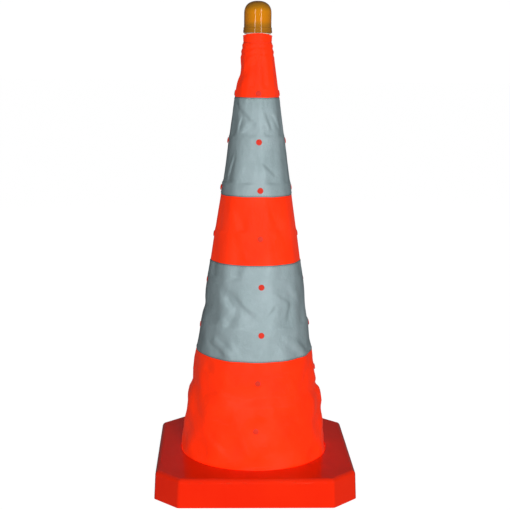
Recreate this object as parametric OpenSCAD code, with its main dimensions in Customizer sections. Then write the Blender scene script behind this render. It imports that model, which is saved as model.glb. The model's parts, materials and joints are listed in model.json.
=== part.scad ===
// Collapsible traffic cone with a warning lamp, in millimetres.
// A fabric sleeve with two reflective bands is riveted to eight nested, tapered rings.
// The rings telescope down into a square base, and the lamp rides down with them.
// Origin: centre of the underside of the feet. +Z is up and the front is at -Y.

/* [Base] */
// Width of the base across its flats, at the ground
base_w = 309; // [300:1:330]
// Height of the base's top face above the ground
base_h = 45.5; // [45:0.5:48]
// Length that a corner's chamfer cuts off each side
base_chamfer = 37; // [34:1:44]
// How far each side leans in between the ground and the top face
base_draft = 1.6; // [0.5:0.1:3]
// Rounding of the base's upper edge and of its corners
base_edge_r = 7; // [5:0.5:8]
// Wall of the base moulding
base_wall = 3; // [2.5:0.25:3.25]
// How far the rubber feet stand below the moulding
foot_h = 1.2; // [1:0.1:1.4]

/* [Rings and sleeve] */
// Height of the lowest row of rivets
row_1_z = 104; // [104:0.5:105]
// Height from one row of rivets to the next
row_pitch = 72.5; // [72.25:0.25:72.75]
// Outer radius of the lowest ring at its rivets
ring_1_r = 105.2; // [105:0.1:105.4]
// How much smaller each ring is than the one below it
ring_step = 10.5; // [10.4:0.05:10.6]
// Wall of a ring
ring_wall = 1.6; // [1.5:0.05:1.7]
// Thickness of the coated fabric
sleeve_t = 1; // [0.8:0.1:1]
// How far each ring has turned in the one below, because they never line up exactly
ring_turns = [0, 1.5, 5, 5.5, 4.5, 5, 3, 2];
// Heights at which the sleeve changes colour, from the ground up
band_edges = [208, 354, 456.5, 606];

/* [Lamp] */
// Height of the top of the lens
lens_top = 750; // [748:1:754]
// Outer radius of the lens above its flange
lens_r = 20.8; // [20.6:0.1:21]
// Outer radius of the lens flange
lens_flange_r = 22; // [21.6:0.1:22.4]
// Wall of the lens
lens_wall = 2; // [1.7:0.1:2.1]
// Radius of the cream neck under the lens
neck_r = 17.5; // [17.4:0.05:17.6]

/* [Hidden] */
$fn = 96;

// Colours
ORANGE = [1.0, 0.23, 0.06];
BASE_RED = [0.98, 0.17, 0.02];
SILVER = [0.62, 0.69, 0.72];
RIVET_RED = [0.92, 0.24, 0.17];
RING_ORANGE = [0.93, 0.3, 0.1];
AMBER = [0.88, 0.52, 0.02, 0.8];
CREAM = [0.93, 0.89, 0.78];
RUBBER = [0.12, 0.12, 0.12];
STEEL = [0.75, 0.76, 0.78];
BRASS = [0.83, 0.68, 0.3];
BOARD = [0.1, 0.38, 0.2];
CELL = [0.16, 0.17, 0.2];
LED = [1.0, 0.93, 0.75];

// Rings: eight, numbered from the bottom. The lamp's collar is a ninth, in the same taper.
RING_COUNT = 8;
COLLAR = RING_COUNT + 1;
rim_rise = 8;        // rim above its row of rivets
ring_drop = 80;      // bottom edge below the row
ring_lean = 0.09;    // how fast a ring's own wall closes in with height
fit_gap = 0.4;       // radial play between sliding faces
flange_t = 2;        // bottom flange, and the lip inside the rim
bead_rise = 62.5;    // locking bead below the row
bead_h = 0.3;
sleeve_lean = ring_step / row_pitch;
sleeve_gap = 0.75;   // ring to fabric, at a row of rivets
tilt = atan(sleeve_lean);
seam_gap = 0.3;

function row_z(k) = row_1_z + row_pitch * (k - 1);
function rim_z(k) = row_z(k) + rim_rise;
function ring_r(k) = ring_1_r - ring_step * (k - 1);
function wall_r(k, dz) = ring_r(k) - ring_lean * dz;
function lip_r(k) = wall_r(k + 1, rim_rise - flange_t / 2 - row_pitch) + fit_gap;
function flange_r(k) = wall_r(k - 1, row_pitch - ring_drop + flange_t) - ring_wall - fit_gap;

// Base
well_r = 116.2;
ledge_z = row_1_z - ring_drop;
ledge_r = 106;
ledge_t = 3;
boss_xy = 120;
boss_r = 5;
plate_t = 3;
plate_top = foot_h + plate_t;
pilot_r = 1.3;
screw_r = 1.25;
screw_head_r = 2.8;
screw_head_t = 1.3;
rib_r = 102.5;
hub_r = 26;
foot_r = 11;
foot_far = 131;
foot_near = 74;

// Sleeve: fabric from the hem inside the base to the top edge under the lamp
hem_z = 34;
sleeve_top = 698;
tie_z = 687;
tie_r = 0.6;
notch = 1.4;
notch_half = 3.5;
groove_half = 3.2;
hoop_t = 1.5;

// Each segment of the sleeve runs from one rim or change of colour to the next:
// name, lower z, upper z, is it orange
segments = [
    ["sleeve_1", hem_z, rim_z(1), true],
    ["sleeve_2", rim_z(1), rim_z(2), true],
    ["sleeve_3", rim_z(2), band_edges[0], true],
    ["lower_band_3", band_edges[0], rim_z(3), false],
    ["lower_band_4", rim_z(3), rim_z(4), false],
    ["lower_band_5", rim_z(4), band_edges[1], false],
    ["sleeve_5", band_edges[1], rim_z(5), true],
    ["sleeve_6", rim_z(5), band_edges[2], true],
    ["upper_band_6", band_edges[2], rim_z(6), false],
    ["upper_band_7", rim_z(6), rim_z(7), false],
    ["upper_band_8", rim_z(7), band_edges[3], false],
    ["sleeve_8", band_edges[3], rim_z(8), true],
    ["sleeve_9", rim_z(8), sleeve_top, true]
];

// Lamp heights
flange_z = 702.2;
flange_top = 710.5;
dome_h = 19;
dome_power = 2.4;
neck_top = 714;
tube_r = 17;
tube_in_r = 15.4;
tube_z = 643;
shoulder_z = rim_z(COLLAR);
shoulder_r = 19.4;
shoulder_t = 3;
bore_gap = 0.25;
cell_r = 7.15;
cell_x = 7.45;
cell_z = 652;
cell_len = 49;
floor_z = 704;
lug_r = 18.9;
lug_z = 705;
lug_t = 2;

// ---- Base ----

// The eight corners of a chamfered square, for posts of radius r
module at_corners(half, r) {
    near = half - base_chamfer - r * tan(22.5);
    for (sx = [-1, 1], sy = [-1, 1], far_x = [true, false]) {
        x = far_x ? half - r : near;
        y = far_x ? near : half - r;
        translate([sx * x, sy * y, 0]) children();
    }
}

// The base's outer form, or its hollow when set in by the wall
module base_form(inset, z0) {
    r = base_edge_r - inset;
    half = base_w / 2 - inset;
    hull() {
        at_corners(half, r) translate([0, 0, z0]) cylinder(r = r, h = 1, $fn = 32);
        at_corners(half - base_draft, r)
            translate([0, 0, base_h - inset - r]) sphere(r = r, $fn = 32);
    }
}

module at_bosses() {
    for (sx = [-1, 1], sy = [-1, 1]) translate([sx * boss_xy, sy * boss_xy, 0]) children();
}

module at_ring_screws() {
    for (a = [45:90:315]) rotate([0, 0, a]) translate([well_r - 3, 0, 0]) children();
}

module tube(r_out, r_in, h) {
    difference() {
        cylinder(r = r_out, h = h);
        translate([0, 0, -1]) cylinder(r = r_in, h = h + 2);
    }
}

module base_shell() {
    top_skin = base_h - base_wall / 2;
    lead_in = 1.2;
    color(BASE_RED)
    difference() {
        union() {
            difference() {
                base_form(0, foot_h);
                base_form(base_wall, foot_h - 2);
            }
            translate([0, 0, ledge_z - ledge_t])
                cylinder(r = well_r + base_wall, h = top_skin - ledge_z + ledge_t);
            at_bosses() translate([0, 0, plate_top])
                cylinder(r = boss_r, h = top_skin - plate_top, $fn = 32);
        }
        translate([0, 0, ledge_z]) cylinder(r = well_r, h = base_h);
        translate([0, 0, ledge_z - 10]) cylinder(r = ledge_r, h = 20);
        translate([0, 0, base_h - lead_in])
            cylinder(r1 = well_r, r2 = well_r + lead_in * 1.5, h = lead_in * 1.5);
        at_bosses() translate([0, 0, plate_top - 1]) cylinder(r = pilot_r, h = 15, $fn = 24);
        at_ring_screws() translate([0, 0, ledge_z - 5])
            cylinder(r = pilot_r + 0.4, h = 10, $fn = 24);
    }
}

module bottom_plate() {
    half = base_w / 2 - base_wall - 0.6;
    near = half - base_chamfer;
    rib_t = 2.4;
    rib_h = ledge_z - 0.4 - plate_top;
    color(BASE_RED)
    difference() {
        union() {
            translate([0, 0, foot_h]) linear_extrude(plate_t) polygon([
                [half, near], [near, half], [-near, half], [-half, near],
                [-half, -near], [-near, -half], [near, -half], [half, -near]
            ]);
            translate([0, 0, plate_top - 1]) {
                tube(hub_r + rib_t, hub_r, rib_h + 1);
                tube(rib_r, rib_r - rib_t, rib_h + 1);
            }
            for (a = [15:30:345]) rotate([0, 0, a])
                translate([hub_r + 1, -rib_t / 2, plate_top - 1])
                    cube([rib_r - hub_r - 2, rib_t, rib_h + 1]);
        }
        at_bosses() {
            cylinder(r = pilot_r + 0.4, h = 20, $fn = 24);
            translate([0, 0, foot_h - 1]) cylinder(r = screw_head_r + 0.5, h = 2.6, $fn = 32);
        }
    }
}

module rubber_feet() {
    color(RUBBER)
    for (sx = [-1, 1], sy = [-1, 1], far_x = [true, false])
        translate([sx * (far_x ? foot_far : foot_near), sy * (far_x ? foot_near : foot_far), 0])
            cylinder(r1 = foot_r - 0.8, r2 = foot_r, h = foot_h, $fn = 48);
}

// A self-tapping screw, head down, whose head bears at z = 0
module screw(len) {
    cylinder(r = screw_r, h = len, $fn = 24);
    difference() {
        translate([0, 0, -screw_head_t]) cylinder(r = screw_head_r, h = screw_head_t, $fn = 32);
        for (a = [0, 90]) rotate([0, 0, a])
            translate([-1.6, -0.3, -screw_head_t - 0.1]) cube([3.2, 0.6, 0.8]);
    }
}

module base_screws() {
    color(STEEL) at_bosses() translate([0, 0, foot_h + 1.6]) screw(12);
}

module ring_screws() {
    color(STEEL) at_ring_screws() translate([0, 0, ledge_z - ledge_t]) screw(8);
}

module hem_hoop() {
    r = sleeve_r(base_h) - sleeve_t - fit_gap;
    color(RING_ORANGE) translate([0, 0, hem_z + 1]) tube(r, r - hoop_t, 8);
}

// ---- Rings and their rivets ----

// A ring's section: wall, bottom flange or foot, locking bead and the lip inside its rim
module ring_section(k) {
    foot = k == 1;
    foot_rise = 6;
    low = -ring_drop;
    out_r = foot ? well_r - 0.6 : flange_r(k);
    out_z = foot ? low + foot_rise : low + flange_t;
    bead = foot ? [] : [
        [wall_r(k, -bead_rise - 1), -bead_rise - 1],
        [wall_r(k, -bead_rise) + bead_h, -bead_rise],
        [wall_r(k, -bead_rise + 1), -bead_rise + 1]
    ];
    lip = k == COLLAR ? tube_r + bore_gap : lip_r(k);
    polygon(concat(
        [[wall_r(k, low) - ring_wall, low], [out_r, low], [out_r, out_z]],
        [[wall_r(k, out_z), out_z]],
        bead,
        [[wall_r(k, rim_rise), rim_rise], [lip, rim_rise], [lip, rim_rise - flange_t]],
        [[wall_r(k, rim_rise - flange_t - 1) - ring_wall, rim_rise - flange_t - 1]]
    ));
}

// Four places round ring k, with +X pointing out along the rivet
module at_rivets(k) {
    for (i = [0:3])
        rotate([0, 0, i * 90 - 90 + ring_turns[k - 1]])
            translate([ring_r(k), 0, row_z(k)])
                rotate([0, 90 - tilt, 0]) children();
}

module ring(k) {
    color(RING_ORANGE)
    difference() {
        translate([0, 0, row_z(k)]) rotate_extrude() ring_section(k);
        at_rivets(k) translate([0, 0, -5]) cylinder(r = 2.15, h = 8, $fn = 24);
        if (k == 1)
            at_ring_screws() translate([0, 0, ledge_z - 1]) cylinder(r = pilot_r, h = 6.4, $fn = 24);
    }
}

rivet_r = 4.6;
shank_r = 2;
head_z = 1.85;       // underside of the head, on the fabric
head_rim = 0.4;
head_crown = 0.9;
cap_z = -2.1;
cap_t = 1.2;

module rivets(k) {
    shank_end = cap_z - 0.7;
    color(RIVET_RED)
    at_rivets(k) rotate_extrude($fn = 32) polygon(concat(
        [[0, shank_end], [shank_r, shank_end], [shank_r, head_z], [rivet_r, head_z]],
        [for (a = [0:15:90]) [rivet_r * cos(a), head_z + head_rim + head_crown * sin(a)]]
    ));
}

module rivet_caps(k) {
    cap_r = 3.4;
    color(RIVET_RED)
    at_rivets(k) difference() {
        translate([0, 0, cap_z - cap_t]) cylinder(r = cap_r, h = cap_t, $fn = 32);
        translate([0, 0, cap_z - 0.8]) cylinder(r = shank_r + 0.06, h = 2, $fn = 32);
    }
}

// ---- Sleeve ----

// Outer radius of the fabric: straight inside the base, one long taper, straight at the top
function taper_r(z) = ring_1_r + sleeve_gap + sleeve_t - sleeve_lean * (z - row_1_z);
function sleeve_r(z) = z < base_h ? taper_r(base_h) : z > tie_z + notch_half ? 21.9 : taper_r(z);

module segment(s) {
    low = s[1];
    high = s[2] - seam_gap;
    knees = low < base_h ? [base_h] : high > tie_z ? [tie_z - notch_half] : [];
    neck = high > tie_z ? [[sleeve_r(tie_z) - notch, tie_z], [sleeve_r(high), tie_z + notch_half]] : [];
    outside = concat(
        [[sleeve_r(low), low]], [for (z = knees) [sleeve_r(z), z]], neck, [[sleeve_r(high), high]]
    );
    inside = [for (i = [len(outside) - 1:-1:0]) outside[i] - [sleeve_t, 0]];
    color(s[3] ? ORANGE : SILVER)
    difference() {
        rotate_extrude() polygon(concat(outside, inside));
        for (k = [1:RING_COUNT])
            if (row_z(k) > low && row_z(k) < s[2])
                at_rivets(k) cylinder(r = shank_r + 0.4, h = 6, $fn = 24);
    }
}

module neck_tie() {
    groove_r = sleeve_r(tie_z) - notch + tie_r + 0.1;
    color(ORANGE) translate([0, 0, tie_z])
        rotate_extrude() translate([groove_r, 0]) circle(r = tie_r, $fn = 24);
}

// ---- Lamp ----

module head_collar() {
    groove = sleeve_r(tie_z) - notch - sleeve_t - 0.4;
    color(CREAM)
    difference() {
        translate([0, 0, row_z(COLLAR)]) rotate_extrude() ring_section(COLLAR);
        translate([0, 0, tie_z - groove_half]) tube(groove + 5, groove, 2 * groove_half);
    }
}

module lamp_housing() {
    lug_arc = 20;
    color(CREAM)
    difference() {
        union() {
            translate([0, 0, tube_z]) cylinder(r = tube_r, h = shoulder_z + 1 - tube_z);
            translate([0, 0, shoulder_z]) cylinder(r = shoulder_r, h = shoulder_t);
            translate([0, 0, shoulder_z]) cylinder(r = neck_r, h = neck_top - shoulder_z);
            for (a = [0, 180]) rotate([0, 0, a - lug_arc / 2])
                translate([0, 0, lug_z]) rotate_extrude(angle = lug_arc)
                    translate([neck_r - 1, 0]) square([lug_r - neck_r + 1, lug_t]);
        }
        translate([0, 0, tube_z - 1]) cylinder(r = tube_in_r, h = floor_z - tube_z + 1);
        translate([0, 0, floor_z + 1.6]) cylinder(r = tube_in_r, h = neck_top - floor_z);
        for (sx = [-1, 1]) translate([sx * cell_x - 2, 6, floor_z - 1]) cube([4, 1.6, 4]);
    }
}

// Clamps the collar's top plate against the housing's shoulder
module lamp_nut() {
    color(CREAM)
    translate([0, 0, rim_z(COLLAR) - flange_t - 4.8]) tube(18.4, tube_r + 0.1, 3.8);
}

module lens_seal() {
    color(CREAM) translate([0, 0, 700.4]) tube(20.4, neck_r + 0.1, 1.5);
}

// Points along a dome of the given radius and height, from its side to its crown
function dome(r, h, z) = [
    for (a = [0:7.5:90]) [r * pow(cos(a), 2 / dome_power), z + h * pow(sin(a), 2 / dome_power)]
];

module lens() {
    dome_z = lens_top - dome_h;
    bore_r = neck_r + 0.6;
    track_r = lug_r + 0.4;
    track_z = [lug_z - 0.4, lug_z + lug_t + 0.5];
    inner_r = lens_r - lens_wall;
    inner = dome(inner_r, dome_h - lens_wall, dome_z);
    step_r = lens_flange_r - 0.4;
    color(AMBER)
    difference() {
        rotate_extrude() polygon(concat(
            [[bore_r, flange_z], [lens_flange_r - 0.4, flange_z], [lens_flange_r, flange_z + 0.4]],
            [[lens_flange_r, flange_z + 3.6], [step_r, flange_z + 4], [step_r, flange_top - 0.6]],
            [[step_r - 0.5, flange_top], [lens_r, flange_top + 0.4]],
            dome(lens_r, dome_h, dome_z),
            [for (i = [len(inner) - 1:-1:0]) inner[i]],
            [[inner_r, flange_top], [bore_r, flange_top - 0.5]],
            [[bore_r, track_z[1]], [track_r, track_z[1]], [track_r, track_z[0]], [bore_r, track_z[0]]]
        ));
        for (a = [40, 220]) rotate([0, 0, a - 13])
            translate([0, 0, flange_z - 1]) rotate_extrude(angle = 26)
                translate([bore_r - 1, 0]) square([track_r - bore_r + 1, track_z[0] - flange_z + 2]);
    }
}

module led_board() {
    color(BOARD) translate([0, 0, neck_top + 0.05]) cylinder(r = 17.2, h = 1.6);
}

led_z = neck_top + 1.7;

module at_leds() {
    for (a = [45:90:315]) rotate([0, 0, a]) translate([6, 0, led_z]) children();
}

module leds() {
    color(LED)
    at_leds() {
        cylinder(r = 2.9, h = 1, $fn = 32);
        cylinder(r = 2.5, h = 6, $fn = 32);
        translate([0, 0, 6]) sphere(r = 2.5, $fn = 32);
    }
}

module reflector() {
    color(STEEL)
    difference() {
        translate([0, 0, led_z]) rotate_extrude() polygon([
            [0, 0], [9.6, 0], [17.4, 4], [17.4, 5], [9.2, 1], [0, 1]
        ]);
        at_leds() translate([0, 0, -1]) cylinder(r = 3.2, h = 4, $fn = 32);
    }
}

module at_cells() {
    for (sx = [-1, 1]) translate([sx * cell_x, 0, 0]) children();
}

module contact_plates() {
    color(BRASS)
    for (sx = [-1, 1]) translate([sx * cell_x, 0, 0]) {
        translate([-3.5, -4, floor_z - 0.7]) cube([7, 11.2, 0.6]);
        translate([-1.5, 6.5, floor_z - 0.7]) cube([3, 0.6, neck_top - floor_z + 0.6]);
    }
}

module batteries() {
    color(CELL)
    at_cells() {
        translate([0, 0, cell_z]) cylinder(r = cell_r, h = cell_len, $fn = 48);
        translate([0, 0, cell_z + cell_len - 0.1]) cylinder(r = 2.7, h = 1.5, $fn = 32);
    }
}

module battery_springs() {
    wire_r = 0.4;
    turns = 9;
    pitch = 0.72;
    color(STEEL)
    at_cells()
        for (i = [0:turns - 1]) translate([0, 0, cell_z - wire_r - 0.1 - i * pitch])
            rotate_extrude($fn = 48) translate([3.2 + 0.12 * i, 0]) circle(r = wire_r, $fn = 16);
}

module battery_cap() {
    cap_h = 2;
    color(CREAM)
    difference() {
        union() {
            translate([0, 0, tube_z - cap_h]) cylinder(r = tube_r, h = cap_h - 0.05);
            translate([0, 0, tube_z - 1]) tube(tube_in_r - 0.1, tube_in_r - 1.2, 6);
        }
        translate([-8, -1, tube_z - cap_h - 1]) cube([16, 2, 1.8]);
    }
}

base_shell();
bottom_plate();
rubber_feet();
base_screws();
ring_screws();
hem_hoop();
for (k = [1:RING_COUNT]) ring(k);
for (k = [1:RING_COUNT]) rivets(k);
for (k = [1:RING_COUNT]) rivet_caps(k);
for (s = segments) segment(s);
head_collar();
neck_tie();
lamp_housing();
lamp_nut();
lens_seal();
lens();
reflector();
led_board();
leds();
contact_plates();
batteries();
battery_springs();
battery_cap();
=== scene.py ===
"""A collapsible traffic cone: its fabric sleeve, glossy base and amber lamp, in metres."""
import json
import math

import bpy
import numpy as np
from mathutils import Euler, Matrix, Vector


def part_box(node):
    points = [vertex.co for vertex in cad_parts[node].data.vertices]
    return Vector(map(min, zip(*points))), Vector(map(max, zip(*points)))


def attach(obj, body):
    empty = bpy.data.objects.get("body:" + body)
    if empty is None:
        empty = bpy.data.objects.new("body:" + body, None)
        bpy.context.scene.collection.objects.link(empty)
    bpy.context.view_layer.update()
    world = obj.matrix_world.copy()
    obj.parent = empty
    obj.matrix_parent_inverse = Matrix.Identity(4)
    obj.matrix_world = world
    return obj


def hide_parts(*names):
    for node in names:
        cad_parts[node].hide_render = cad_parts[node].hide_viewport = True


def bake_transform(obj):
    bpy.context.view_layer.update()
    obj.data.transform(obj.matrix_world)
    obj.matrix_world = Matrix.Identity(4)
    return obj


MM = 0.001
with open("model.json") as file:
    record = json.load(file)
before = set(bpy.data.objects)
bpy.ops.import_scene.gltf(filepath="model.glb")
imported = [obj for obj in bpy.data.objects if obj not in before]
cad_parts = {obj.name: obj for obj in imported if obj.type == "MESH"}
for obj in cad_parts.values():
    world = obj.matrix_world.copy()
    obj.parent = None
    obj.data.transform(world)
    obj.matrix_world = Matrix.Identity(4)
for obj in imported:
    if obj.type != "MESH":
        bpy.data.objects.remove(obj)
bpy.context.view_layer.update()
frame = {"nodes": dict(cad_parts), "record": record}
NODES = frame["nodes"]
SCENE = bpy.context.scene

# ---------------------------------------------------------------- sizes read from the frame

RINGS = range(1, 9)
HEAD_TIER = 9          # the collar that carries the lamp counts as the ninth ring
TIERS = range(1, HEAD_TIER + 1)
SAME_LEVEL = 0.1 * MM  # heights this close count as one


def half_width(node):
    """Half of a node's width along X, which is the outer radius of a round node."""
    low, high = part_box(node)
    return (high.x - low.x) / 2


def middle_z(node):
    """Height of the middle of a node."""
    low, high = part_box(node)
    return (low.z + high.z) / 2


RIM_Z = {k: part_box(f"ring_{k}")[1].z for k in RINGS}
RIM_Z[HEAD_TIER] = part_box("head_collar")[1].z
ROW_Z = {k: middle_z(f"rivets_{k}") for k in RINGS}
BASE_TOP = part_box("base_shell")[1].z
HEM_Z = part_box("sleeve_1")[0].z
TOP_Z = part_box("sleeve_9")[1].z
TIE_Z = middle_z("neck_tie")

# The fabric's straight taper runs through the lower edges of two segments of the CAD sleeve
LOW_Z, LOW_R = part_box("sleeve_2")[0].z, half_width("sleeve_2")
HIGH_Z, HIGH_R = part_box("sleeve_9")[0].z, half_width("sleeve_9")
LEAN = (LOW_R - HIGH_R) / (HIGH_Z - LOW_Z)
NECK_R = 21.6 * MM     # of the fabric above the tie
NOTCH = 1.3 * MM       # how deep the tie draws the fabric in
NOTCH_HALF = 3.5 * MM  # half of the height over which it does so
RING_LEAN = 0.09       # how fast a ring's own wall closes in with height
CLEARANCE = 0.6 * MM   # between the fabric and a ring's wall
FRONT_REACH = math.radians(20)  # a ring's front rivet lies within this of straight ahead


def front_turn(k):
    """How far ring k's front rivet stands from straight ahead, in radians."""
    angles = []
    for v in NODES[f"rivets_{k}"].data.vertices:
        angle = math.atan2(v.co.x, -v.co.y)
        if abs(angle) < FRONT_REACH:
            angles.append(angle)
    return (min(angles) + max(angles)) / 2


TURN = {k: front_turn(k) for k in RINGS}


def taper_r(z):
    """The fabric's outer radius on its straight taper."""
    return LOW_R - LEAN * (z - LOW_Z)


def sleeve_r(z):
    """The fabric's outer radius before it is draped."""
    if z < BASE_TOP:
        return taper_r(BASE_TOP)
    if z > TIE_Z - NOTCH_HALF:
        notch = NOTCH * math.exp(-((z - TIE_Z) / (0.5 * NOTCH_HALF)) ** 2)
        blend = min(1, (z - TIE_Z + NOTCH_HALF) / (2 * NOTCH_HALF))
        return taper_r(z) * (1 - blend) + NECK_R * blend - notch
    return taper_r(z)


def rim_radius(node, z):
    """Outer radius of a round node at its rim, at height z."""
    vertices = NODES[node].data.vertices
    return max(math.hypot(v.co.x, v.co.y) for v in vertices if abs(v.co.z - z) < SAME_LEVEL)


RIM_HEIGHTS = np.array([RIM_Z[k] for k in TIERS])
RIM_NODES = [f"ring_{k}" for k in RINGS] + ["head_collar"]
RIM_R = np.array([rim_radius(node, z) for node, z in zip(RIM_NODES, RIM_HEIGHTS)])


def wall_r(z):
    """Radius of the outermost ring wall at each height z, which the fabric has to clear."""
    tier = np.clip(np.searchsorted(RIM_HEIGHTS, z), 0, len(RIM_R) - 1)
    return RIM_R[tier] + RING_LEAN * (RIM_HEIGHTS[tier] - z)


def turn_at(z):
    """How far the rings have turned the sleeve at height z."""
    rows = [ROW_Z[k] for k in RINGS]
    turns = [TURN[k] for k in RINGS]
    return float(np.interp(z, rows, turns))


def rivet_places():
    """The middle of every rivet, on the fabric's taper."""
    places = []
    for k in RINGS:
        r = sleeve_r(ROW_Z[k])
        for quarter in range(4):
            angle = TURN[k] + quarter * math.pi / 2
            places.append((r * math.sin(angle), -r * math.cos(angle), ROW_Z[k]))
    return np.array(places)


RIVETS = rivet_places()


def add_object(name, data):
    """A new object in the scene."""
    made = bpy.data.objects.new(name, data)
    SCENE.collection.objects.link(made)
    return made


def add_mesh(name, points, faces):
    """A new mesh object from an array of points and a list of faces."""
    data = bpy.data.meshes.new(name)
    data.from_pydata(np.asarray(points).reshape(-1, 3).tolist(), [], faces)
    return add_object(name, data)


# ---------------------------------------------------------------- materials


class Shader:
    """A material's node tree, with a Principled shader whose plain values sit on its own sockets."""

    def __init__(self, name, **values):
        self.material = bpy.data.materials.new(name)
        self.material.use_nodes = True
        self.tree = self.material.node_tree
        self.surface = self.tree.nodes["Principled BSDF"]
        for socket, value in values.items():
            self.surface.inputs[socket.replace("_", " ")].default_value = value

    def node(self, kind, links=(), **settings):
        """A new node, with its sockets or else its own settings set by name, and links into it."""
        made = self.tree.nodes.new(kind)
        for key, value in settings.items():
            if key in made.inputs:
                made.inputs[key].default_value = value
            elif key.replace("_", " ") in made.inputs:
                made.inputs[key.replace("_", " ")].default_value = value
            else:
                setattr(made, key, value)
        for source, target in links:
            self.tree.links.new(source, made.inputs[target])
        return made

    def link(self, source, socket):
        """Feeds an output into one of the Principled shader's sockets."""
        self.tree.links.new(source, self.surface.inputs[socket])

    def place(self, name="Object"):
        """One of the surface's own coordinates."""
        return self.node("ShaderNodeTexCoord").outputs[name]

    def noise(self, scale, detail=4.0, roughness=0.5):
        """Smooth noise in the object's own coordinates, from 0 to 1."""
        made = self.node("ShaderNodeTexNoise", [(self.place(), "Vector")], Scale=scale, Detail=detail,
                         Roughness=roughness, Distortion=0.0)
        return made.outputs["Fac"]

    def ramp(self, fac, *stops):
        """A colour ramp through (place, colour) stops."""
        made = self.node("ShaderNodeValToRGB", [(fac, "Fac")])
        elements = made.color_ramp.elements
        while len(elements) < len(stops):
            elements.new(0.5)
        for element, (place, colour) in zip(elements, stops):
            element.position = place
            element.color = (*colour, 1)
        return made.outputs["Color"]

    def spread(self, fac, low, high):
        """Maps a 0 to 1 value onto low to high."""
        made = self.node("ShaderNodeMapRange", [(fac, "Value")], To_Min=low, To_Max=high)
        return made.outputs["Result"]

    def combine(self, operation, a, b):
        """A maths node on two values, each a number or another node's output."""
        made = self.node("ShaderNodeMath", operation=operation)
        for i, value in enumerate((a, b)):
            if isinstance(value, (int, float)):
                made.inputs[i].default_value = value
            else:
                self.tree.links.new(value, made.inputs[i])
        return made.outputs[0]

    def bump(self, *layers):
        """Stacks bumps: (height, distance in metres)."""
        normal = None
        for height, distance in layers:
            made = self.node("ShaderNodeBump", [(height, "Height")], Distance=distance)
            made.inputs["Strength"].default_value = 1.0
            if normal:
                self.tree.links.new(normal, made.inputs["Normal"])
            normal = made.outputs["Normal"]
        self.link(normal, "Normal")


WAVE_RATE = 20  # a wave texture turns this many radians for each unit of its scale and of length


def weave(shader, threads):
    """A plain weave of crossed waves along the sleeve's width and length, in threads per metre."""
    uv = shader.place("UV")
    waves = []
    for direction in ("X", "Y"):
        wave = shader.node("ShaderNodeTexWave", [(uv, "Vector")], wave_type="BANDS",
                           bands_direction=direction, Scale=threads / WAVE_RATE * math.pi, Distortion=0.0)
        waves.append(wave.outputs["Fac"])
    return shader.combine("MULTIPLY", *waves)


def orange_fabric():
    """Coated fluorescent-orange cloth, with a painted glow set in its emission that brightens it all over,
    its shaded flanks too.
    """
    # The emission colour and strength here are a painted glow that lifts the cloth's brightness
    s = Shader("orange_fabric", Base_Color=(1.0, 0.032, 0.004, 1), Roughness=0.5,
               Specular_IOR_Level=0.3, Sheen_Weight=0.06, Sheen_Roughness=0.35,
               Sheen_Tint=(1.0, 0.45, 0.45, 1), Emission_Color=(1.0, 0.035, 0.0, 1),
               Emission_Strength=0.36)
    patches = s.noise(14, 5, 0.6)
    s.link(s.ramp(patches, (0.3, (0.95, 0.022, 0.003)), (0.55, (1.0, 0.032, 0.004)),
                  (0.75, (1.0, 0.042, 0.012))), "Base Color")
    s.link(s.spread(s.noise(60, 4), 0.42, 0.58), "Roughness")
    s.bump((s.noise(90, 4), 0.5 * MM), (s.noise(320, 4), 0.25 * MM), (weave(s, 1600), 0.08 * MM))
    return s.material


def silver_fabric():
    """Retroreflective cloth, with painted shade darkening it along its sewn edges, where the bands overlap
    the orange cloth.
    """
    s = Shader("silver_fabric", Base_Color=(0.32, 0.415, 0.42, 1), Metallic=0.3, Roughness=0.46,
               Specular_IOR_Level=0.5)
    patches = s.noise(22, 6, 0.65)
    cloth = s.ramp(patches, (0.3, (0.37, 0.48, 0.5)), (0.6, (0.44, 0.555, 0.58)), (0.8, (0.49, 0.6, 0.64)))
    # Painted shade: the cloth turns dark grey along the bands' sewn edges, for the shadow of their overlap
    sewn = s.node("ShaderNodeAttribute", attribute_name="sewn_edge").outputs["Fac"]
    painted_edge_shade = s.node("ShaderNodeMix", data_type="RGBA")
    s.tree.links.new(sewn, painted_edge_shade.inputs["Factor"])
    s.tree.links.new(cloth, painted_edge_shade.inputs["A"])
    painted_edge_shade.inputs["B"].default_value = (0.1, 0.13, 0.13, 1)
    s.link(painted_edge_shade.outputs["Result"], "Base Color")
    s.link(s.spread(s.noise(90, 5), 0.38, 0.56), "Roughness")
    s.bump((s.noise(70, 5, 0.6), 1.0 * MM), (s.noise(300, 4), 0.3 * MM), (weave(s, 2400), 0.04 * MM))
    return s.material


def base_plastic():
    """Glossy moulded plastic."""
    s = Shader("base_plastic", Base_Color=(1.0, 0.022, 0.001, 1), Roughness=0.12, IOR=1.46)
    s.link(s.ramp(s.noise(9, 4), (0.35, (0.96, 0.018, 0.0005)), (0.7, (1.0, 0.024, 0.001))), "Base Color")
    s.link(s.spread(s.noise(45, 6, 0.65), 0.08, 0.2), "Roughness")
    s.bump((s.noise(35, 3), 0.4 * MM), (s.noise(400, 3), 0.03 * MM))
    return s.material


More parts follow.
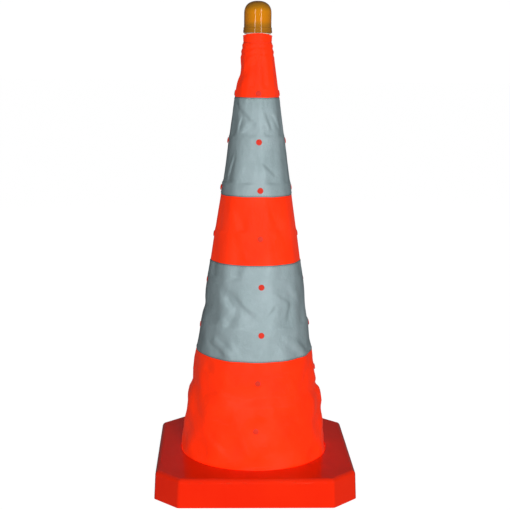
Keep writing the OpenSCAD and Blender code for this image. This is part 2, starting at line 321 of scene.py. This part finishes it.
def lens_amber():
    """Tinted clear plastic, with painted shade by height: paler at the middle of its height, darker at its
    flange and crown where less light shows through.
    """
    s = Shader("lens_amber", Base_Color=(0.85, 0.28, 0.004, 1), Roughness=0.08, IOR=1.5,
               Transmission_Weight=0.22)
    height = s.node("ShaderNodeSeparateXYZ", [(s.place(), "Vector")]).outputs["Z"]
    low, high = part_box("lens")
    share = s.node("ShaderNodeMapRange", [(height, "Value")], From_Min=low.z, From_Max=high.z)
    mottled = s.combine("ADD", share.outputs["Result"], s.spread(s.noise(70, 3), -0.06, 0.06))
    # Painted shade: the tint darkens towards the flange and crown, standing in for the dim surroundings seen
    # through them
    s.link(s.ramp(mottled, (0.0, (0.52, 0.2, 0.01)), (0.24, (0.6, 0.23, 0.01)),
                  (0.36, (0.95, 0.31, 0.003)), (0.66, (0.95, 0.33, 0.003)),
                  (0.8, (0.62, 0.25, 0.004)), (1.0, (0.42, 0.18, 0.008))), "Base Color")
    s.bump((s.noise(180, 2), 0.1 * MM))
    return s.material


def moulded(name, colour, rough=0.4, grain=900, depth=0.04, metallic=0.0, glow=0.0):
    """Plain plastic, rubber, thread or metal with slight mottling, grain of a depth in mm, and a painted
    glow of strength glow, set in its emission.
    """
    s = Shader(name, Base_Color=(*colour, 1), Roughness=rough, Metallic=metallic,
               Emission_Color=(*colour, 1), Emission_Strength=glow)
    dark = tuple(c * 0.86 for c in colour)
    s.link(s.ramp(s.noise(60, 4), (0.3, dark), (0.7, colour)), "Base Color")
    s.link(s.spread(s.noise(150, 4), rough * 0.8, min(1, rough * 1.25)), "Roughness")
    s.bump((s.noise(grain, 3), depth * MM))
    return s.material


MATERIALS = {
    "base_plastic": base_plastic(),
    "fabric_orange": orange_fabric(),
    "fabric_silver": silver_fabric(),
    "lens_amber": lens_amber(),
    "foot_rubber": moulded("foot_rubber", (0.03, 0.03, 0.03), 0.75, 600, 0.1),
    "screw_steel": moulded("screw_steel", (0.6, 0.6, 0.62), 0.32, 500, 0.03, 1.0),
    "ring_plastic": moulded("ring_plastic", (0.8, 0.07, 0.015), 0.38),
    # The rivets' emission is a painted glow that brightens them
    "rivet_plastic": moulded("rivet_plastic", (0.78, 0.033, 0.012), 0.5, 700, 0.03, glow=0.08),
    "tie_cord": moulded("tie_cord", (0.85, 0.05, 0.012), 0.6, 900, 0.2),
    "lamp_plastic": moulded("lamp_plastic", (0.8, 0.72, 0.55), 0.35),
    "seal_rubber": moulded("seal_rubber", (0.78, 0.7, 0.55), 0.5),
    "reflector_chrome": moulded("reflector_chrome", (0.85, 0.85, 0.86), 0.12, 300, 0.02, 1.0),
    "board": moulded("board", (0.03, 0.2, 0.07), 0.4),
    "led_clear": moulded("led_clear", (0.9, 0.85, 0.65), 0.15),
    "contact_brass": moulded("contact_brass", (0.75, 0.56, 0.22), 0.25, 500, 0.02, 1.0),
    "cell_jacket": moulded("cell_jacket", (0.05, 0.05, 0.06), 0.25),
    "spring_steel": moulded("spring_steel", (0.65, 0.65, 0.67), 0.25, 500, 0.02, 1.0),
}

for part in frame["record"]["subparts"]:
    data = NODES[part["node"]].data
    data.materials.clear()
    data.materials.append(MATERIALS[part["material_slot"]])

# ---------------------------------------------------------------- camera, lights and floor


CAMERA_PLACE = (-0.0571, -1.7491, 0.6707)
CAMERA_DOWN = 10.11  # degrees below level
CAMERA_TURN = 1.85   # degrees to the right of straight ahead
CAMERA_ROLL = 0.58   # degrees
FOCAL_LENGTH = 79.6  # mm, on a sensor as wide as below
SENSOR_WIDTH = 36
# Softboxes: name, degrees to the right of the front, distance, height, width and height, power,
# and the rays that they are hidden from
LIGHTS = [
    ("left_strip", -23.7, 2.4, 0.9, (0.28, 1.7), 8, ["diffuse"]),
    ("right_strip", 27.5, 2.4, 0.9, (0.28, 1.7), 10, ["diffuse"]),
    ("front_box", 7, 3.0, 0.54, (1.0, 0.9), 82, ["glossy", "transmission"]),
    ("back_box", 190, 2.6, 1.6, (1.6, 1.2), 12, ["glossy"]),
]
LIGHTS_AIM = Vector((0, 0, 0.35))
FLOOR_WIDTH = 60
BACKDROP_R = 28
FLOOR_GLOW = 0.985
BACKDROP_GLOW = 1.0
STAGE_TONE = 0.12
# Greys of the surroundings from level upwards, as (height in the sky, grey), and how much bluer they are
WORLD_STOPS = [(0.0, 0.11), (0.35, 0.07), (0.55, 0.12), (1.0, 0.13)]
WORLD_BLUE = 1.03


def camera():
    """A long lens, a little left of the front and above the cone's middle."""
    data = bpy.data.cameras.new("camera")
    data.sensor_width = SENSOR_WIDTH
    data.lens = FOCAL_LENGTH
    made = add_object("camera", data)
    made.location = CAMERA_PLACE
    look = Euler((math.radians(90 - CAMERA_DOWN), 0, math.radians(-CAMERA_TURN))).to_matrix()
    roll = Euler((0, 0, math.radians(CAMERA_ROLL))).to_matrix()
    made.rotation_euler = (look @ roll).to_euler()
    SCENE.camera = made


def softbox(name, azimuth, distance, height, size, power, hidden_from):
    """A rectangular light that points at the cone."""
    data = bpy.data.lights.new(name, "AREA")
    data.shape = "RECTANGLE"
    data.size, data.size_y = size
    data.energy = power
    made = add_object(name, data)
    for rays in hidden_from:
        setattr(made, f"visible_{rays}", False)
    turn = math.radians(azimuth)
    place = Vector((distance * math.sin(turn), -distance * math.cos(turn), height))
    made.location = place
    made.rotation_euler = (LIGHTS_AIM - place).to_track_quat("-Z", "Y").to_euler()


def pale_stage(card, name, glow):
    """Makes a floor or backdrop pale to the camera, and keeps it out of the lighting and the reflections."""
    card.name = name
    s = Shader(name, Roughness=0.9, Specular_IOR_Level=0.0, Emission_Color=(1, 1, 1, 1),
               Emission_Strength=glow)
    s.link(s.ramp(s.noise(3, 3), (0.3, (STAGE_TONE * 0.97,) * 3), (0.7, (STAGE_TONE,) * 3)), "Base Color")
    card.data.materials.append(s.material)
    card.visible_diffuse = False
    card.visible_glossy = False
    card.visible_transmission = False
    card.visible_shadow = False


def studio():
    """The floor, the backdrop and the softboxes."""
    bpy.ops.mesh.primitive_plane_add(size=FLOOR_WIDTH)
    pale_stage(bpy.context.object, "floor", FLOOR_GLOW)
    bpy.ops.mesh.primitive_uv_sphere_add(segments=48, ring_count=24, radius=BACKDROP_R)
    pale_stage(bpy.context.object, "backdrop", BACKDROP_GLOW)
    for light in LIGHTS:
        softbox(*light)


def surroundings():
    """A dim world, darkest a third of the way up."""
    world = bpy.data.worlds.new("studio")
    SCENE.world = world
    world.use_nodes = True
    tree = world.node_tree
    place = tree.nodes.new("ShaderNodeTexCoord")
    split = tree.nodes.new("ShaderNodeSeparateXYZ")
    ramp = tree.nodes.new("ShaderNodeValToRGB")
    tree.links.new(place.outputs["Generated"], split.inputs[0])
    tree.links.new(split.outputs["Z"], ramp.inputs["Fac"])
    elements = ramp.color_ramp.elements
    while len(elements) < len(WORLD_STOPS):
        elements.new(0.5)
    for element, (position, grey) in zip(elements, WORLD_STOPS):
        element.position = position
        element.color = (grey, grey, grey * WORLD_BLUE, 1)
    tree.links.new(ramp.outputs["Color"], tree.nodes["Background"].inputs["Color"])
    SCENE.view_settings.view_transform = "Standard"


camera()
studio()
surroundings()

# ---------------------------------------------------------------- sleeve

COLUMNS = 144    # of the coarse grid, all the way round
CELL = 4.6 * MM  # height of one of its cells


def is_band(name):
    """Whether a segment belongs to one of the two reflective bands."""
    return name.startswith(("lower_band_", "upper_band_"))


SEGMENTS = sorted(
    (n for n in NODES if n.startswith("sleeve_") or is_band(n)),
    key=lambda n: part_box(n)[0].z,
)
# A segment runs from its own lower edge to the next one's
EDGES = [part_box(n)[0].z for n in SEGMENTS] + [TOP_Z]


def sleeve_rows():
    """Heights of the rows of the sleeve's grid, and where each segment starts among them."""
    heights, starts = [], []
    for low, high in zip(EDGES, EDGES[1:]):
        starts.append(len(heights))
        count = max(2, round((high - low) / CELL))
        heights += [low + (high - low) * i / count for i in range(count)]
    starts.append(len(heights))
    return np.array(heights + [TOP_Z]), starts


ROWS, STARTS = sleeve_rows()


def on_cone(heights, turn_share=1.0, widen=0.0):
    """The sleeve's grid of points, rows by columns, on its smooth taper."""
    grid = np.zeros((len(heights), COLUMNS, 3))
    for i, z in enumerate(heights):
        angles = 2 * math.pi * np.arange(COLUMNS) / COLUMNS + turn_share * turn_at(z)
        r = sleeve_r(z) * (1 + widen)
        grid[i, :, 0] = r * np.sin(angles)
        grid[i, :, 1] = -r * np.cos(angles)
        grid[i, :, 2] = z
    return grid


def grid_faces(rows, columns):
    """The faces of a grid that is closed all the way round."""
    return [
        (i * columns + j, i * columns + (j + 1) % columns,
         (i + 1) * columns + (j + 1) % columns, (i + 1) * columns + j)
        for i in range(rows - 1) for j in range(columns)
    ]


def polar(grid):
    """Each point's angle round from the front, its distance from the axis and its height."""
    angle = np.arctan2(grid[:, :, 0], -grid[:, :, 1])
    return angle, np.hypot(grid[:, :, 0], grid[:, :, 1]), grid[:, :, 2]


def spread_out(grid, share):
    """The grid with each point's distance from the axis multiplied by its share."""
    out = grid.copy()
    out[:, :, :2] *= share[:, :, None]
    return out


def angle_from(middle, angle):
    """How far round each angle lies from middle, from -pi to pi."""
    return (angle - middle + math.pi) % (2 * math.pi) - math.pi


HOLD_OVER_BASE = 1 * MM   # how far above the base's top the base still holds the fabric
HOLD_UNDER_TIE = 2 * MM
HOLD_AT_RIVET = 5 * MM    # how far around its middle a rivet holds it
RUMPLE_DEPTH = 1.2 * MM
RUMPLE_WAVES = 60
RUMPLE_LOBES = (4, 14)    # each wave's lobes round the cone, at least and fewer than
RUMPLE_CLIMB = (20, 110)  # how fast a wave turns with height, in radians per metre


def pinned(grid):
    """Where the fabric is held: in the base, at the tie and above it, and at each rivet."""
    held = np.zeros(grid.shape[:2])
    held[ROWS < BASE_TOP + HOLD_OVER_BASE] = 1
    held[ROWS > TIE_Z - HOLD_UNDER_TIE] = 1
    for rivet in RIVETS:
        held[np.linalg.norm(grid - rivet, axis=2) < HOLD_AT_RIVET] = 1
    return held


def rumpled(grid, held):
    """The grid with shallow waves crossing it, deeper low down, from which the cloth settles."""
    dice = np.random.default_rng(7)
    around = np.linspace(0, 2 * math.pi, COLUMNS, endpoint=False)
    height = np.zeros(grid.shape[:2])
    for _ in range(RUMPLE_WAVES):
        lobes = dice.integers(*RUMPLE_LOBES)
        climb = dice.uniform(*RUMPLE_CLIMB) * dice.choice([-1, 1])
        phase = dice.uniform(0, 2 * math.pi)
        wave = np.sin(lobes * around[None, :] + climb * ROWS[:, None] + phase)
        height += wave / math.sqrt(RUMPLE_WAVES)
    _, radius, _ = polar(grid)
    share = (radius / sleeve_r(BASE_TOP)) ** 3
    return spread_out(grid, 1 + RUMPLE_DEPTH * height * share * (1 - held) / radius)


DRAPE_FRAMES = 22


def drape(start, cut, held):
    """Lets the sleeve settle as cloth cut to the shape of cut, held where held is 1."""
    obj = add_mesh("drape", start, grid_faces(start.shape[0], COLUMNS))
    obj.shape_key_add(name="Basis")
    key = obj.shape_key_add(name="cut")
    key.data.foreach_set("co", cut.reshape(-1).astype(np.float32))
    group = obj.vertex_groups.new(name="held")
    group.add([int(i) for i in np.nonzero(held.reshape(-1))[0]], 1.0, "REPLACE")
    cloth = obj.modifiers.new("cloth", "CLOTH")
    settings = cloth.settings
    settings.vertex_group_mass = "held"
    settings.rest_shape_key = key
    settings.quality = 7
    settings.mass = 0.12
    settings.tension_stiffness = 40
    settings.compression_stiffness = 40
    settings.shear_stiffness = 30
    settings.bending_stiffness = 6
    settings.tension_damping = 12
    settings.compression_damping = 12
    settings.shear_damping = 8
    settings.bending_damping = 1
    settings.air_damping = 4
    settings.use_pressure = True
    settings.uniform_pressure_force = 0.15
    settings.effector_weights.gravity = 0.2
    cloth.collision_settings.use_collision = False
    cloth.point_cache.frame_start = 1
    cloth.point_cache.frame_end = DRAPE_FRAMES
    for f in range(1, DRAPE_FRAMES + 1):
        SCENE.frame_set(f)
    settled = obj.evaluated_get(bpy.context.evaluated_depsgraph_get()).to_mesh()
    points = np.zeros(start.size, np.float32)
    settled.vertices.foreach_get("co", points)
    bpy.data.objects.remove(obj)
    SCENE.frame_set(1)
    return points.reshape(start.shape).astype(float)


SOFTNESS = 0.4 * MM   # how gently the fabric bends over a ring
HEAD_EASE = 2 * MM    # from this far under the top rim the fabric keeps to its own taper
SETTLED_REACH = 3 * MM   # how far out of the taper the fabric may stand once it has settled,
CREASED_REACH = 5 * MM   # once it is creased
FINISHED_REACH = 6 * MM  # and at the end


def on_rings(grid, outward):
    """Keeps every point off the rings, and within reach of the taper."""
    _, r, height = polar(grid)
    z = np.clip(height, HEM_Z, TOP_Z)
    taper = np.vectorize(sleeve_r)(z)
    wall = np.where(z < BASE_TOP, taper, wall_r(z) + CLEARANCE)
    wall = np.where(z > RIM_Z[HEAD_TIER] - HEAD_EASE, taper, wall)
    inner = np.minimum(wall, taper - SOFTNESS * math.log(2))
    wanted = inner + SOFTNESS * np.logaddexp(0, (np.minimum(r, taper + outward) - inner) / SOFTNESS)
    return spread_out(grid, wanted / r)


SLACK = 1.006  # how much longer the sleeve is cut than the distance it spans
EASE = 0.003   # how much wider it is cut than its taper, as a share

start = on_cone(ROWS)
cut = on_cone(ROWS, turn_share=0.0, widen=EASE)
cut[:, :, 2] = HEM_Z + (cut[:, :, 2] - HEM_Z) * SLACK
settled = drape(rumpled(start, pinned(start)), cut, pinned(start))
settled = on_rings(settled, SETTLED_REACH)


def finer(grid):
    """Doubles the grid both ways, each new point on the cubic through the four nearest old ones."""
    around = np.empty((grid.shape[0], grid.shape[1] * 2, 3))
    around[:, ::2] = grid
    around[:, 1::2] = (
        9 * (grid + np.roll(grid, -1, 1)) - np.roll(grid, 1, 1) - np.roll(grid, -2, 1)
    ) / 16
    up = np.empty((grid.shape[0] * 2 - 1, around.shape[1], 3))
    up[::2] = around
    padded = np.concatenate([2 * around[:1] - around[1:2], around, 2 * around[-1:] - around[-2:-1]])
    up[1::2] = (9 * (padded[1:-2] + padded[2:-1]) - padded[:-3] - padded[3:]) / 16
    return up


def normals(grid):
    """The outward normal at each point of the grid."""
    around = np.roll(grid, -1, 1) - np.roll(grid, 1, 1)
    up = np.gradient(grid, axis=0)
    n = np.cross(around, up)
    return n / np.linalg.norm(n, axis=2, keepdims=True)


# Sharp creases between two points of the sleeve: (degrees, mm, degrees, mm, depth in mm, spread in mm),
# with the degrees counted from the front to the right and the first two mm as heights. Across a crease
# the fabric stands out on one side and in on the other. Depth sets how far and which side, and spread
# sets how wide.
CREASES = [
    # lower band
    (-30, 310, 0, 275, -1.7, 7),
    (-45, 310, -25, 285, 2.0, 8),
    (-25, 285, -35, 265, 1.8, 7),
    (25, 310, 40, 295, 1.9, 7),
    (40, 295, 35, 270, 1.7, 6),
    (40, 315, 55, 295, -1.4, 7),
    (-45, 240, -25, 220, 1.6, 6),
    (-50, 230, -30, 215, -1.5, 7),
    (-25, 235, -15, 215, 1.0, 5),
    (30, 240, 50, 215, -2.0, 7),
    (45, 235, 65, 215, 1.4, 7),
    (20, 290, 10, 275, 0.7, 4),
    # upper band
    (-55, 595, -10, 570, -1.3, 5),
    (-10, 570, -35, 555, 1.3, 5),
    (-40, 575, -45, 555, 1.0, 3),
    (20, 580, 30, 560, 1.3, 4),
    (40, 580, 55, 560, -1.1, 4),
    (15, 525, 40, 525, 0.6, 3),
    (10, 505, 30, 490, 1.3, 4),
    (-50, 515, -60, 490, 1.3, 4),
    # orange
    (-10, 665, -65, 640, 2.1, 6),
    (-40, 90, -25, 70, 1.4, 6),
    (-10, 95, -5, 70, 1.3, 6),
    (-15, 160, -5, 145, 1.6, 6),
    (-45, 170, -20, 150, 1.4, 7),
    (30, 120, 40, 95, 1.3, 8),
    (35, 180, 50, 150, 1.3, 8),
    (-15, 375, -5, 360, 1.1, 5),
    (-40, 440, -20, 400, 1.1, 7),
    (20, 430, 35, 395, 1.0, 6),
    # sides and back
    (84, 168, 104, 140, 1.2, 7),
    (100, 300, 128, 276, 1.4, 6),
    (140, 312, 118, 284, -1.1, 6),
    (-96, 296, -122, 272, 1.3, 6),
    (-134, 240, -108, 226, 1.1, 5),
    (150, 168, 128, 140, -1.0, 7),
    (-150, 440, -120, 420, 0.9, 6),
    (96, 522, 128, 500, 0.8, 4),
    (-100, 580, -134, 562, 0.8, 4),
    (160, 230, 132, 218, 1.0, 5),
    (-166, 130, -140, 104, 1.0, 7),
]


CREASE_REACH = 0.62  # how far from its middle a crease fades out, as a share of its length
CREASE_GAIN = 1.6    # makes the fabric step by about 1.25 times a crease's depth, side to side


def creased(grid):
    """Folds the fabric along each crease, fading out towards its ends."""
    angle, r, z = polar(grid)
    move = np.zeros(angle.shape)
    for from_deg, from_mm, to_deg, to_mm, depth, spread in CREASES:
        middle = math.radians((from_deg + to_deg) / 2)
        reach = sleeve_r((from_mm + to_mm) / 2 * MM)
        along = np.array([math.radians(to_deg - from_deg) * reach, (to_mm - from_mm) * MM])
        length = np.linalg.norm(along)
        along = along / length
        x = angle_from(middle, angle) * reach
        y = z - (from_mm + to_mm) / 2 * MM
        t = (x * along[0] + y * along[1]) / (CREASE_REACH * length)
        s = (x * along[1] - y * along[0]) / (spread * MM)
        fold = s * np.exp(-np.abs(s) ** 1.5)
        move += depth * MM * fold * np.exp(-t ** 4)
    return spread_out(grid, 1 + CREASE_GAIN * move / r)


# How far the fabric stands out from its taper away from the rivets, as (height, distance), both in mm
FULLNESS = [
    (46, 0), (90, 2), (130, 3.5), (140, 3), (155, -1.5), (165, -1), (190, 0), (215, -0.5), (285, -0.5),
    (335, 0),
]
DIMPLE = 15 * MM  # how far a rivet holds the fabric in around it
# How strong the settled folds stand by height, as (height in mm, share)
FOLD_SHARE = [(46, 1.8), (200, 1.5), (260, 1.0), (360, 0.7), (450, 0.45), (590, 0.45), (620, 0.7)]


def fullness(z):
    """How far the fabric stands out from its taper at height z."""
    heights, distances = np.array(FULLNESS).T * MM
    return np.interp(z, heights, distances)


def at_rivets(grid):
    """How near each point lies to a rivet, from 0 to 1 at the rivet itself."""
    near = np.zeros(grid.shape[:2])
    for rivet in RIVETS:
        near += np.exp(-(np.linalg.norm(grid - rivet, axis=2) / DIMPLE) ** 2)
    return np.minimum(near, 1)


def filled(grid):
    """Gives the fabric its fullness, and deepens or evens its settled folds by height."""
    fold_heights, shares = np.array(FOLD_SHARE).T
    _, r, z = polar(grid)
    mean = r.mean(axis=1, keepdims=True)
    share = np.interp(z, fold_heights * MM, shares)
    wanted = mean + (r - mean) * share + fullness(z) * (1 - at_rivets(grid))
    return spread_out(grid, wanted / r)


ARCH = 3 * MM            # how much higher the top edge is at its front and back
SCRUNCH = 0.7 * MM       # depth of the small level folds under the tie
SCRUNCH_PITCH = 9.5 * MM
SCRUNCH_DROP = 10 * MM   # from the tie down to the middle of those folds
SCRUNCH_HALF = 13 * MM   # from there to where they fade out
# Dents in the sides: (degrees round, height, depth, half width in degrees, half height), in mm
DENTS = [
    (-80, 645, 4.5, 45, 12), (-90, 490, 1.5, 40, 55), (-90, 280, 2.5, 35, 10),
    (90, 280, 2.0, 35, 20), (90, 230, 3.0, 35, 20), (90, 150, 4.0, 35, 7),
]
# How much lower the front and back of a level run than its sides, negative for higher, in mm
BOW = [(340, 0), (395, -1.6), (450, -0.6), (520, -0.4), (576, -0.5), (600, 0)]
# How much higher the cloth sits than its cut, in mm
SHIFT = [(480, 0), (576, -1.2), (600, 0)]
SEAM_HALF = 6 * MM       # half of the back seam's width
SEAM_STEP = 0.5 * MM     # how far the seam stands out
SEAM_EASE = 0.5 * MM     # how gently it does so at its edges
EDGE_STEP = 0.35 * MM    # how far the bands stand on the orange cloth


def finished(grid):
    """Adds the folds under the tie, the dents, the back seam, the arched top edge, bow and shift."""
    angle, r, z = polar(grid)
    near = np.exp(-((z - (TIE_Z - SCRUNCH_DROP)) / SCRUNCH_HALF) ** 4) * (z < TIE_Z)
    # The level folds wander up and down on their way round
    drift = 1.1 * np.sin(2 * angle + 0.6) + 0.8 * np.sin(5 * angle + 2)
    move = SCRUNCH * near * np.sin(2 * math.pi * (TIE_Z - z) / SCRUNCH_PITCH + drift)
    for turn, height, depth, half_turn, half_rise in DENTS:
        aside = angle_from(math.radians(turn), angle) / math.radians(half_turn)
        move -= depth * MM * np.exp(-((z - height * MM) / (half_rise * MM)) ** 2 - aside ** 2)
    share = np.arange(grid.shape[1])[None, :] / grid.shape[1]
    off_seam = np.abs(share - 0.5) * 2 * math.pi * r
    move += SEAM_STEP / 2 * (1 - np.tanh((off_seam - SEAM_HALF) / (2 * SEAM_EASE)))
    out = spread_out(grid, 1 + move / r)
    top = np.clip((z - TIE_Z) / (TOP_Z - TIE_Z), 0, 1)
    out[:, :, 2] += ARCH * top * np.cos(angle) ** 2
    bow_heights, bows = np.array(BOW).T * MM
    shift_heights, shifts = np.array(SHIFT).T * MM
    out[:, :, 2] += np.interp(z, shift_heights, shifts) - np.interp(z, bow_heights, bows) * np.cos(2 * angle)
    return out


folded = on_rings(creased(filled(finer(settled))), CREASED_REACH)
fabric = on_rings(finished(folded), FINISHED_REACH)


def sewn_edges():
    """Rows of the fine grid at which the bands' own edges lie."""
    band = [is_band(n) for n in SEGMENTS]
    return [2 * STARTS[i] for i in range(1, len(SEGMENTS)) if band[i] != band[i - 1]]


def on_band():
    """For each row of the fine grid, 1 on a band and 0 off it, with the bands' edges at 0."""
    level = np.zeros(fabric.shape[0])
    for i, name in enumerate(SEGMENTS):
        if is_band(name):
            level[2 * STARTS[i]:2 * STARTS[i + 1] + 1] = 1
    level[sewn_edges()] = 0
    return level


BAND_ROWS = on_band()
fabric += EDGE_STEP * BAND_ROWS[:, None, None] * normals(fabric)
fabric_normals = normals(fabric)


def segment_mesh(name, first, last):
    """One segment of the sleeve, from grid row first to last, shaded with the whole sleeve's normals."""
    points = fabric[first:last + 1]
    rows, columns = points.shape[:2]
    obj = add_mesh(name, points, grid_faces(rows, columns))
    data = obj.data
    layer = data.uv_layers.new(name="UVMap")
    uv = []
    for i in range(rows - 1):
        v = [points[i, 0, 2], points[i, 0, 2], points[i + 1, 0, 2], points[i + 1, 0, 2]]
        r = sleeve_r(v[0])
        for j in range(columns):
            u = [2 * math.pi * r * c / columns for c in (j, j + 1, j + 1, j)]
            uv += [x for pair in zip(u, v) for x in pair]
    layer.data.foreach_set("uv", uv)
    # 1 on the rows of the bands' sewn edges, where the silver cloth is darkened with painted shade
    edge = data.attributes.new("sewn_edge", "FLOAT", "POINT")
    nearest = np.min([np.abs(np.arange(first, last + 1) - row) for row in sewn_edges()], axis=0)
    edge.data.foreach_set("value", np.repeat(np.clip(1 - nearest, 0, 1), columns).astype(np.float32))
    data.shade_smooth()
    data.normals_split_custom_set_from_vertices(
        fabric_normals[first:last + 1].reshape(-1, 3).tolist()
    )
    return obj


def tier_of(z):
    """The tier that height z lies in: tier k ends at ring k's rim."""
    return next(k for k in TIERS if z < RIM_Z[k] or k == HEAD_TIER)


def join_tiers(obj, k):
    """Attaches the fabric of tier 1 to the root body, and for the other tiers only bakes the object's
    placing into its mesh.
    """
    if k == 1:
        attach(obj, "root")
        return
    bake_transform(obj)


for i, name in enumerate(SEGMENTS):
    low, high = EDGES[i], EDGES[i + 1]
    piece = segment_mesh(f"{name}_fabric", 2 * STARTS[i], 2 * STARTS[i + 1])
    slot = "fabric_silver" if is_band(name) else "fabric_orange"
    piece.data.materials.append(MATERIALS[slot])
    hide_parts(name)
    k = tier_of((low + high) / 2)
    join_tiers(piece, k)

# ---------------------------------------------------------------- stitching and hem

STITCH = 3 * MM       # length of one
STITCH_GAP = 1.2 * MM
STITCH_LEAD = 0.1     # where the seam's stitches start, as a share of their pitch
STITCH_ROW = 1.2      # rows of the fine grid from a band's edge to its stitching
SEAM_LINE = 4 * MM    # from the middle of the back seam to each line of its stitching
STATIONS = (0, 0.2, 0.5, 0.8, 1)  # along a stitch, where its outline is drawn
LOOK_AHEAD = 0.1      # how far along a stitch its direction is read
THREAD_R = 0.3 * MM
THREAD_RISE = 0.9     # height of a stitch's middle over the fabric, in thread radii
THREAD_DIVE = 1.6     # how much lower its ends lie, in thread radii
THREAD_THIN = 0.5     # how much thinner they are, as a share
SIDES = 6             # of the thread's outline
HEM_R = 0.9 * MM
HEM_OUT = -0.3        # how far outside the fabric's edge the hem's middle lies, in hem radii
HEM_SIDES = 8


def on_fabric(row, share):
    """Place and outward normal at a row of the fine grid and a share of the way round, both fractional."""
    columns = fabric.shape[1]
    i = min(int(row), fabric.shape[0] - 2)
    j = int(share * columns) % columns
    a, b = row - i, share * columns - int(share * columns)
    corners = ((i, j, (1 - a) * (1 - b)), (i + 1, j, a * (1 - b)),
               (i, (j + 1) % columns, (1 - a) * b), (i + 1, (j + 1) % columns, a * b))
    place = sum(fabric[y, x] * w for y, x, w in corners)
    normal = sum(fabric_normals[y, x] * w for y, x, w in corners)
    return place, normal / np.linalg.norm(normal)


def stitch(ends, points, faces):
    """One stitch between two places on the fabric: a short thread that dives in at both ends."""
    first = len(points)
    for t in STATIONS:
        place, normal = on_fabric(*(a + (b - a) * t for a, b in zip(*ends)))
        ahead, _ = on_fabric(*(a + (b - a) * (t + LOOK_AHEAD) for a, b in zip(*ends)))
        along = (ahead - place) / np.linalg.norm(ahead - place)
        side = np.cross(along, normal)
        lift = THREAD_R * (THREAD_RISE - THREAD_DIVE * (2 * t - 1) ** 4)
        width = THREAD_R * (1 - THREAD_THIN * (2 * t - 1) ** 4)
        for n in range(SIDES):
            turn = 2 * math.pi * n / SIDES
            points.append(place + normal * (lift + width * math.cos(turn)) + side * width * math.sin(turn))
    last = first + (len(STATIONS) - 1) * SIDES
    for base in range(first, last, SIDES):
        for n in range(SIDES):
            m = (n + 1) % SIDES
            faces.append((base + n, base + m, base + SIDES + m, base + SIDES + n))
    faces.append(tuple(range(first, first + SIDES))[::-1])
    faces.append(tuple(range(last, last + SIDES)))


def thread_piece(name, runs, slot, k):
    """A row of stitches as one piece, which follows the same bodies as the fabric of tier k."""
    points, faces = [], []
    for ends in runs:
        stitch(ends, points, faces)
    obj = add_mesh(name, points, faces)
    obj.data.shade_smooth()
    obj.data.materials.append(THREADS[slot])
    join_tiers(obj, k)


def level_run(row):
    """Stitches all the way round at one row."""
    place, _ = on_fabric(row, 0)
    girth = 2 * math.pi * math.hypot(place[0], place[1])
    count = round(girth / (STITCH + STITCH_GAP))
    length = STITCH / girth
    return [((row, n / count), (row, n / count + length)) for n in range(count)]


def upright_run(low, high, off):
    """Stitches up the back, off metres to the side of the seam's middle, between two rows."""
    rise = np.linalg.norm(fabric[high, 0] - fabric[low, 0])
    count = max(1, round(rise / (STITCH + STITCH_GAP)))
    length = STITCH / (STITCH + STITCH_GAP)
    run = []
    for n in range(count):
        rows = [low + (high - low) * (n + t) / count for t in (STITCH_LEAD, STITCH_LEAD + length)]
        shares = []
        for row in rows:
            place = fabric[int(row), fabric.shape[1] // 2]
            shares.append(0.5 + off / (2 * math.pi * math.hypot(place[0], place[1])))
        run.append(tuple(zip(rows, shares)))
    return run


THREADS = {
    "fabric_silver": moulded("silver_thread", (0.3, 0.36, 0.37), 0.6, 1200, 0.1),
    # The orange thread's emission is a painted glow, like that of the orange cloth
    "tie_cord": moulded("orange_thread", (0.95, 0.05, 0.012), 0.6, 1200, 0.1, glow=0.2),
}

for row in sewn_edges():
    silver_above = BAND_ROWS[row + 1] == 1
    sewn = row + (STITCH_ROW if silver_above else -STITCH_ROW)
    edge_z = fabric[row, 0, 2]
    thread_piece(f"band_stitching_{edge_z / MM:.0f}", level_run(sewn), "fabric_silver", tier_of(edge_z))

for k in TIERS:
    own = [i for i in range(len(SEGMENTS)) if tier_of((EDGES[i] + EDGES[i + 1]) / 2) == k]
    first, last = 2 * STARTS[own[0]], 2 * STARTS[own[-1] + 1] - 1
    runs = upright_run(first, last, -SEAM_LINE) + upright_run(first, last, SEAM_LINE)
    thread_piece(f"seam_stitching_{k}", runs, "tie_cord", k)


def top_hem():
    """The rolled hem along the sleeve's top edge."""
    edge = fabric[-1]
    out = edge.copy()
    out[:, 2] = 0
    out /= np.linalg.norm(out, axis=1, keepdims=True)
    rings = []
    for n in range(HEM_SIDES):
        turn = 2 * math.pi * n / HEM_SIDES
        ring = edge + out * HEM_R * (math.cos(turn) + HEM_OUT)
        ring[:, 2] += HEM_R * math.sin(turn)
        rings.append(ring)
    columns = len(edge)
    girth = 2 * math.pi * math.hypot(edge[0, 0], edge[0, 1])
    faces, corners = [], []
    for a in range(HEM_SIDES):
        here, above = a * columns, (a + 1) % HEM_SIDES * columns
        for j in range(columns):
            beside = (j + 1) % columns
            faces.append((here + j, here + beside, above + beside, above + j))
            for right, up in ((0, 0), (1, 0), (1, 1), (0, 1)):
                corners.append(((j + right) / columns * girth, (a + up) / HEM_SIDES * 2 * math.pi * HEM_R))
    obj = add_mesh("top_hem", rings, faces)
    data = obj.data
    layer = data.uv_layers.new(name="UVMap")
    layer.data.foreach_set("uv", np.array(corners, np.float32).ravel())
    data.shade_smooth()
    data.materials.append(MATERIALS["fabric_orange"])
    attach(obj, "head")


top_hem()
